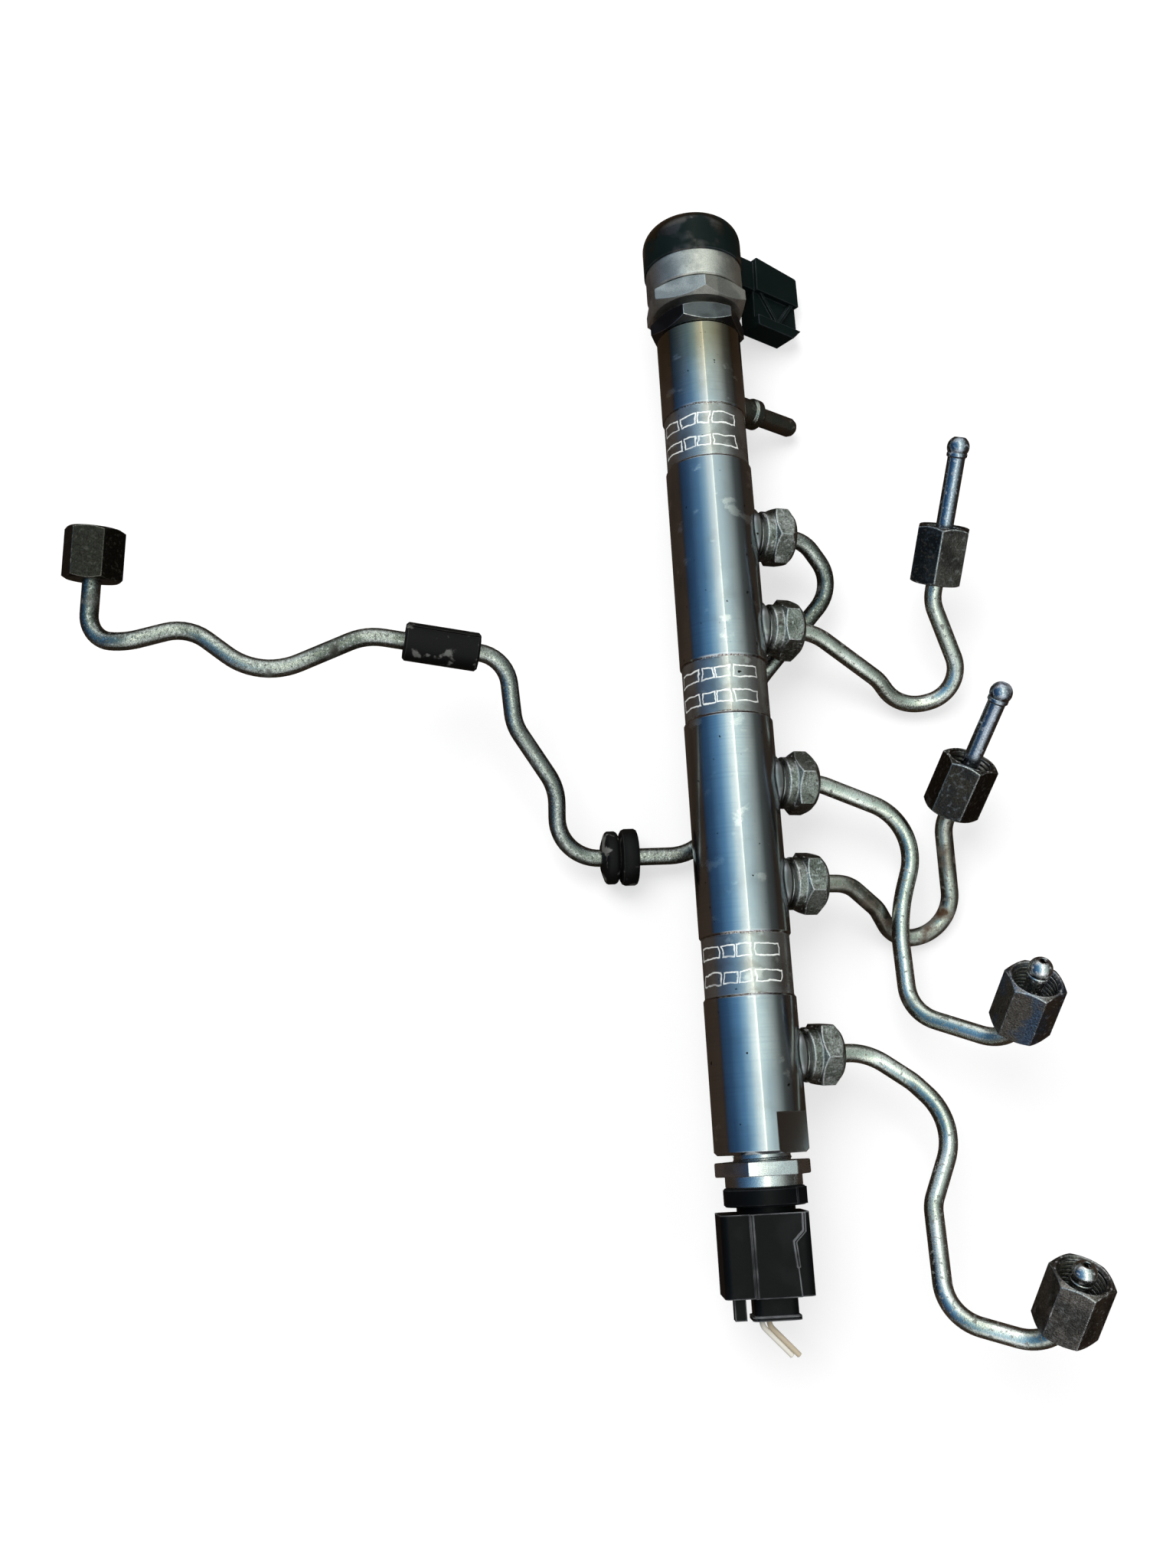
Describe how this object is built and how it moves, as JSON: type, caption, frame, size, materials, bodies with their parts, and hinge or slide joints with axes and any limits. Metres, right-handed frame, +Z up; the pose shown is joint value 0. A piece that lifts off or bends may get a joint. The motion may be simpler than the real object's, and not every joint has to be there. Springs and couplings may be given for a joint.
{
  "type": "common rail fuel rail with injector pipes",
  "caption": "Round steel high pressure fuel rail with a pressure control valve, a pressure sensor, a return stub and bent steel pipes ending in loose union nuts.",
  "frame": {"origin": "on the rail's axis, in the middle of the centre clamp seat", "axes": "+Y along the rail's axis towards the pressure control valve, +Z up as it lies, +X towards the side with the pipe ports"},
  "size_m": [0.3105, 0.3918, 0.0764],
  "materials": {
    "rail_steel": "turned",
    "nipple_steel": "satin",
    "port_nut_zinc": "zinc plated, matt",
    "pipe_zinc": "zinc plated, satin",
    "pipe_worn": "zinc plated, stained",
    "pipe_feed": "zinc plated, satin",
    "union_nut_black": "black oxide, worn",
    "sleeve_steel": "satin",
    "valve_nut_steel": "satin, oiled",
    "valve_steel": "satin",
    "valve_inner_steel": "ground",
    "coil_copper": "enamelled wire",
    "rubber": "matt",
    "cap_plastic": "gloss, oil stained",
    "terminal_metal": "tin plated",
    "sensor_steel": "satin",
    "sensor_plastic": "satin",
    "plug_plastic": "satin",
    "wire_white": "satin",
    "wire_cream": "satin"
  },
  "bodies": {
    "rail": {"feed_pipe": "pipe_feed", "injector_pipe_1": "pipe_zinc", "injector_pipe_2": "pipe_zinc", "injector_pipe_3": "pipe_worn", "injector_pipe_4": "pipe_zinc", "pipe_damper": "rubber", "pipe_grommet": "rubber", "plug_housing": "plug_plastic", "rail_body": "rail_steel", "rail_nut_1": "port_nut_zinc", "rail_nut_2": "port_nut_zinc", "rail_nut_3": "port_nut_zinc", "rail_nut_4": "port_nut_zinc", "rail_nut_5": "port_nut_zinc", "rail_thrust_sleeve_1": "sleeve_steel", "rail_thrust_sleeve_2": "sleeve_steel", "rail_thrust_sleeve_3": "sleeve_steel", "rail_thrust_sleeve_4": "sleeve_steel", "rail_thrust_sleeve_5": "sleeve_steel", "return_nipple": "nipple_steel", "sensor_body": "sensor_steel", "sensor_housing": "sensor_plastic", "sensor_pins": "terminal_metal", "valve_body": "valve_steel", "valve_cap": "cap_plastic", "valve_coil": "coil_copper", "valve_lock_nut": "valve_nut_steel", "valve_o_ring": "rubber", "valve_seat": "valve_inner_steel", "valve_terminals": "terminal_metal", "wire_1": "wire_white", "wire_2": "wire_cream"},
    "injector_sleeve_body_1": {"injector_thrust_sleeve_1": "sleeve_steel"},
    "injector_nut_body_1": {"injector_nut_1": "union_nut_black"},
    "injector_sleeve_body_2": {"injector_thrust_sleeve_2": "sleeve_steel"},
    "injector_nut_body_2": {"injector_nut_2": "union_nut_black"},
    "injector_sleeve_body_3": {"injector_thrust_sleeve_3": "sleeve_steel"},
    "injector_nut_body_3": {"injector_nut_3": "union_nut_black"},
    "injector_sleeve_body_4": {"injector_thrust_sleeve_4": "sleeve_steel"},
    "injector_nut_body_4": {"injector_nut_4": "union_nut_black"},
    "feed_sleeve_body": {"feed_thrust_sleeve": "sleeve_steel"},
    "feed_nut_body": {"feed_nut": "union_nut_black"},
    "valve_needle": {"valve_armature": "valve_inner_steel", "valve_ball": "valve_inner_steel", "valve_spring": "valve_inner_steel"}
  },
  "joints": [
    {"name": "injector_union_1_slide", "type": "slide", "parent": "rail", "child": "injector_sleeve_body_1", "axis": [0.1441, 0.8436, 0.5173], "range_m": [0, 0.0333]},
    {"name": "injector_nut_1_turn", "type": "hinge", "parent": "injector_sleeve_body_1", "child": "injector_nut_body_1", "pos_m": [0.0782, 0.0475, 0], "axis": [0.1441, 0.8436, 0.5173], "continuous": true},
    {"name": "injector_union_2_slide", "type": "slide", "parent": "rail", "child": "injector_sleeve_body_2", "axis": [0.15, 0.65, 0.745], "range_m": [0, 0.0107]},
    {"name": "injector_nut_2_turn", "type": "hinge", "parent": "injector_sleeve_body_2", "child": "injector_nut_body_2", "pos_m": [0.0848, -0.1095, 0.015], "axis": [0.15, 0.65, 0.745], "continuous": true},
    {"name": "injector_union_3_slide", "type": "slide", "parent": "rail", "child": "injector_sleeve_body_3", "axis": [0.306, 0.7199, 0.623], "range_m": [0, 0.0318]},
    {"name": "injector_nut_3_turn", "type": "hinge", "parent": "injector_sleeve_body_3", "child": "injector_nut_body_3", "pos_m": [0.0777, -0.0339, -0.006], "axis": [0.306, 0.7199, 0.623], "continuous": true},
    {"name": "injector_union_4_slide", "type": "slide", "parent": "rail", "child": "injector_sleeve_body_4", "axis": [0.202, 0.771, 0.604], "range_m": [0, 0.0069]},
    {"name": "injector_nut_4_turn", "type": "hinge", "parent": "injector_sleeve_body_4", "child": "injector_nut_body_4", "pos_m": [0.0828, -0.1964, 0.03], "axis": [0.202, 0.771, 0.604], "continuous": true},
    {"name": "feed_union_slide", "type": "slide", "parent": "rail", "child": "feed_sleeve_body", "axis": [0.121, 0.9668, 0.225], "range_m": [0, 0.0022]},
    {"name": "feed_nut_turn", "type": "hinge", "parent": "feed_sleeve_body", "child": "feed_nut_body", "pos_m": [-0.2051, 0.0485, 0.032], "axis": [0.121, 0.9668, 0.225], "continuous": true},
    {"name": "valve_armature_slide", "type": "slide", "parent": "rail", "child": "valve_needle", "axis": [0, 1, 0], "range_m": [0, 0.0003]}
  ]
}
